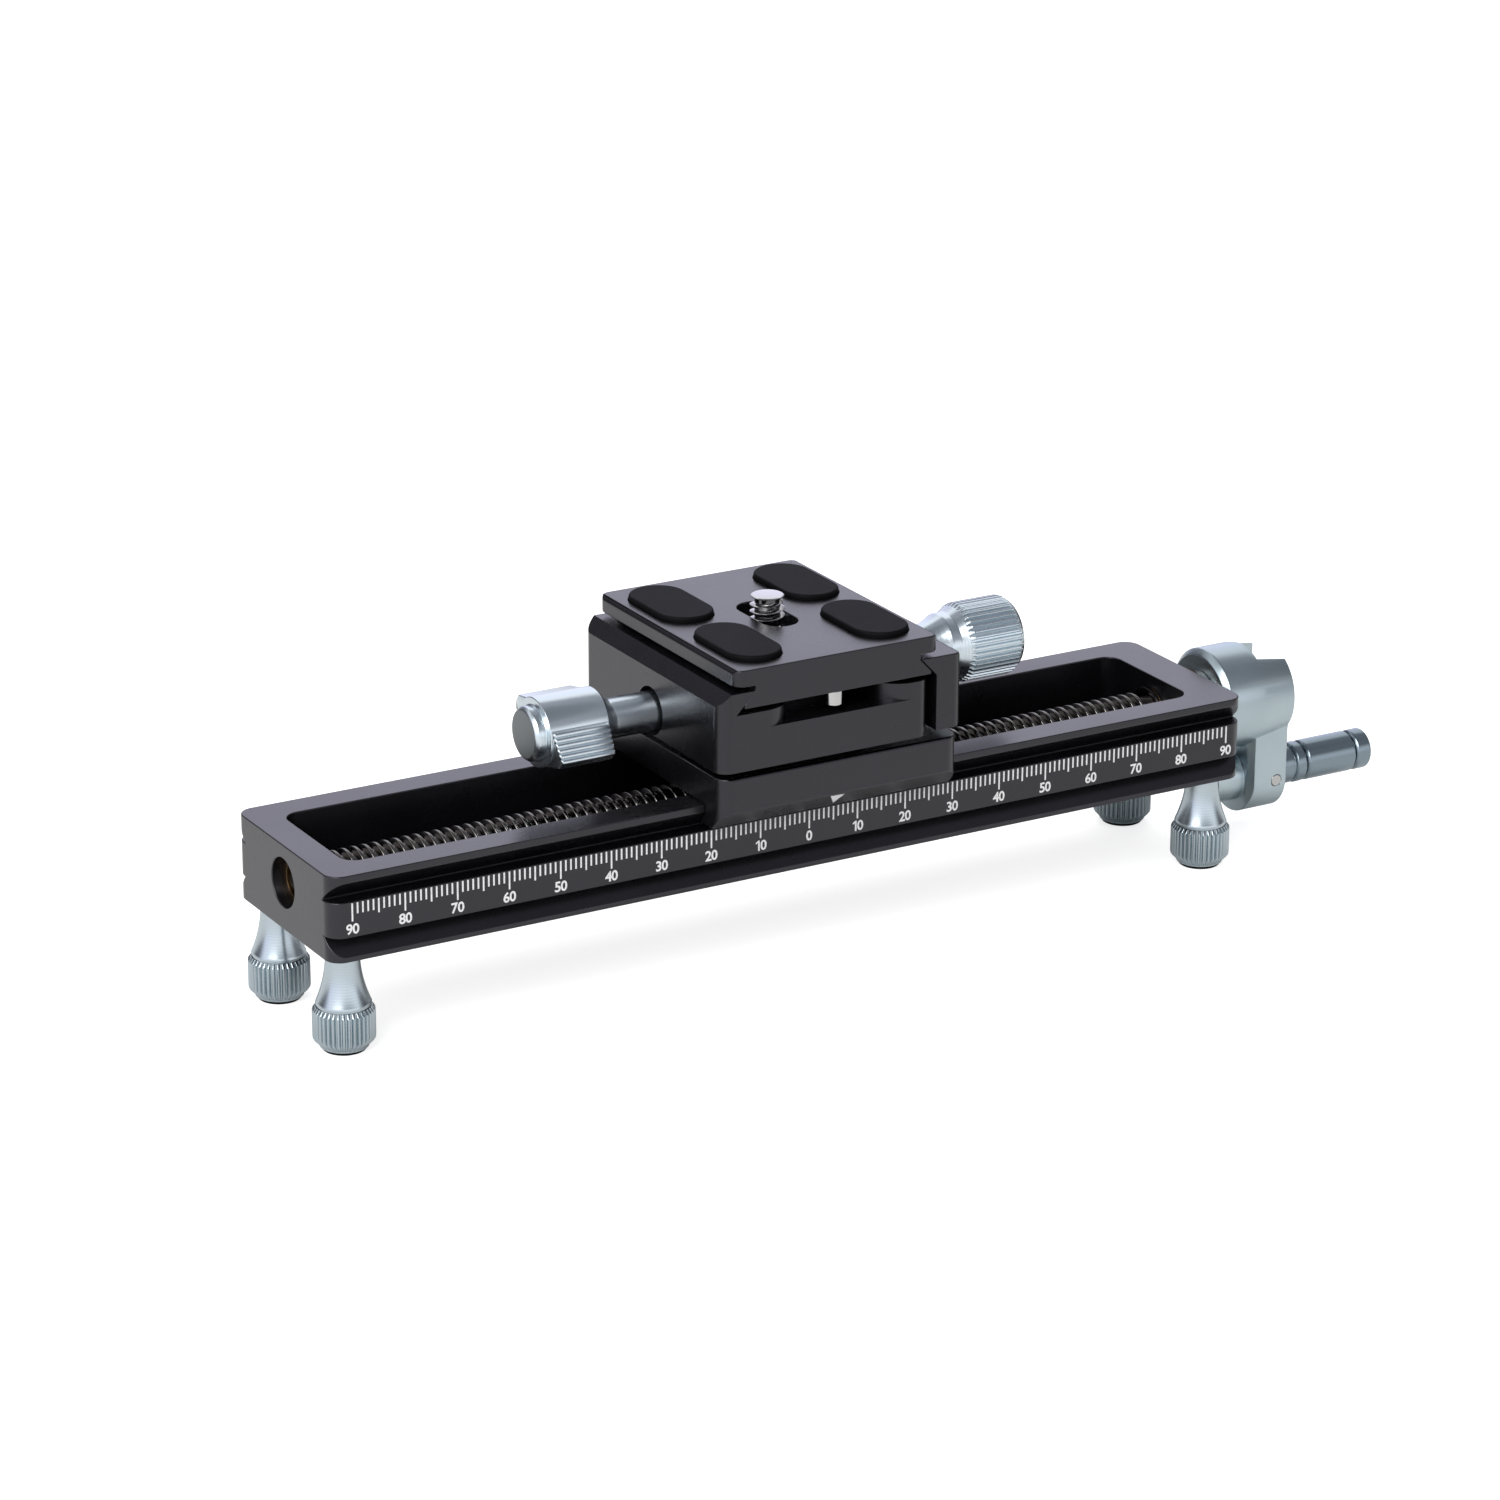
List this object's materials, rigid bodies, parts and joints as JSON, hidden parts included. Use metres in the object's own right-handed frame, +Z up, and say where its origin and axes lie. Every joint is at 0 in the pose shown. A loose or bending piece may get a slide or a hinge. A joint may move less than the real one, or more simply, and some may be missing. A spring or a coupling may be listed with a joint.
{
  "type": "macro focusing rail",
  "caption": "Geared focusing rail with a lead screw, folding crank, carriage, turning dovetail clamp, camera plate and thumb feet.",
  "frame": {"origin": "centre of the rail's underside, in the mouth of the middle tripod socket", "axes": "+X along the rail to the crank, +Y to the back, +Z up to the camera"},
  "size_m": [0.2304, 0.05, 0.0636],
  "materials": {
    "black_anodised": "satin black anodised",
    "grey_anodised": "satin blue-grey anodised",
    "bright_steel": "bright turned steel",
    "bronze": "turned bronze",
    "black_rubber": "matt moulded rubber",
    "white_plastic": "slippery plastic"
  },
  "bodies": {
    "rail": {"rail_frame": "black_anodised", "left_bush": "bronze", "right_bush": "bronze", "thrust_washer": "bright_steel"},
    "screw": {"lead_screw": "bright_steel", "crank_arm": "grey_anodised", "crank_screw": "bright_steel", "detent_plug": "bright_steel", "detent_spring": "bright_steel", "detent_ball": "bright_steel", "fold_pin": "bright_steel"},
    "grip": {"grip_stem": "grey_anodised", "grip_cap": "grey_anodised"},
    "sleeve": {"grip_sleeve": "grey_anodised"},
    "carriage": {"carriage_block": "black_anodised", "drive_nut": "bronze", "nut_screws": "bright_steel", "gib_strip": "bronze", "gib_screws": "bright_steel", "pan_post": "bright_steel", "post_screw": "bright_steel", "slip_ring": "white_plastic"},
    "clamp": {"clamp_body": "black_anodised", "jaw_guide_pins": "bright_steel", "jaw_springs": "bright_steel"},
    "shoe": {"lock_shoe": "bronze"},
    "lock": {"lock_stud": "bright_steel", "lock_knob": "grey_anodised"},
    "jaw": {"clamp_jaw": "black_anodised"},
    "jaw_screw": {"jaw_stud": "bright_steel", "jaw_knob": "grey_anodised"},
    "plate": {"release_plate": "black_anodised", "plate_pads": "black_rubber", "stop_screws": "bright_steel"},
    "clip": {"camera_clip": "bright_steel"},
    "camera": {"camera_screw": "bright_steel"},
    "foot_fl": {"foot_front_left": "grey_anodised", "sole_front_left": "black_rubber"},
    "foot_fr": {"foot_front_right": "grey_anodised", "sole_front_right": "black_rubber"},
    "foot_bl": {"foot_back_left": "grey_anodised", "sole_back_left": "black_rubber"},
    "foot_br": {"foot_back_right": "grey_anodised", "sole_back_right": "black_rubber"}
  },
  "joints": [
    {"name": "crank_turn", "type": "hinge", "parent": "rail", "child": "screw", "pos_m": [0.097, 0, 0.00875], "axis": [-1, 0, 0], "range_deg": [-12240, 7560]},
    {"name": "carriage_slide", "type": "slide", "parent": "rail", "child": "carriage", "axis": [1, 0, 0], "range_m": [-0.068, 0.042]},
    {"name": "grip_fold", "type": "hinge", "parent": "screw", "child": "grip", "pos_m": [0.1108, 0, -0.0076], "axis": [0, -1, 0], "range_deg": [0, 90]},
    {"name": "grip_spin", "type": "hinge", "parent": "grip", "child": "sleeve", "pos_m": [0.125, 0, -0.0076], "axis": [1, 0, 0], "continuous": true},
    {"name": "clamp_pan", "type": "hinge", "parent": "carriage", "child": "clamp", "pos_m": [0.0031, 0, 0.0231], "axis": [0, 0, 1], "continuous": true},
    {"name": "lock_turn", "type": "hinge", "parent": "shoe", "child": "lock", "pos_m": [-0.0326, 0, 0.0275], "axis": [-1, 0, 0], "range_deg": [0, 540]},
    {"name": "shoe_slide", "type": "slide", "parent": "clamp", "child": "shoe", "axis": [-1, 0, 0], "range_m": [0, 0.0012]},
    {"name": "jaw_knob_turn", "type": "hinge", "parent": "jaw", "child": "jaw_screw", "pos_m": [0.04, 0, 0.02962], "axis": [1, 0, 0], "range_deg": [0, 1080]},
    {"name": "jaw_slide", "type": "slide", "parent": "clamp", "child": "jaw", "axis": [1, 0, 0], "range_m": [0, 0.003]},
    {"name": "plate_slide", "type": "slide", "parent": "clamp", "child": "plate", "axis": [0, 1, 0], "range_m": [-0.01, 0.01]},
    {"name": "camera_screw_slide", "type": "slide", "parent": "plate", "child": "clip", "axis": [0, 1, 0], "range_m": [-0.004, 0.004]},
    {"name": "camera_screw_turn", "type": "hinge", "parent": "clip", "child": "camera", "pos_m": [0.00225, 0, 0.0417], "axis": [0, 0, 1], "continuous": true},
    {"name": "foot_fl_turn", "type": "hinge", "parent": "rail", "child": "foot_fl", "pos_m": [-0.0892, -0.013, 0], "axis": [0, 0, 1], "range_deg": [-180, 180]},
    {"name": "foot_fr_turn", "type": "hinge", "parent": "rail", "child": "foot_fr", "pos_m": [0.0892, -0.013, 0], "axis": [0, 0, 1], "range_deg": [-180, 180]},
    {"name": "foot_bl_turn", "type": "hinge", "parent": "rail", "child": "foot_bl", "pos_m": [-0.0892, 0.013, 0], "axis": [0, 0, 1], "range_deg": [-180, 180]},
    {"name": "foot_br_turn", "type": "hinge", "parent": "rail", "child": "foot_br", "pos_m": [0.0892, 0.013, 0], "axis": [0, 0, 1], "range_deg": [-180, 180]}
  ],
  "couplings": [
    {"joint": "crank_turn", "follows": "carriage_slide", "rad_per_m": 3141.6},
    {"joint": "lock_turn", "follows": "shoe_slide", "rad_per_m": 7853.9},
    {"joint": "jaw_knob_turn", "follows": "jaw_slide", "rad_per_m": 6283.1}
  ]
}
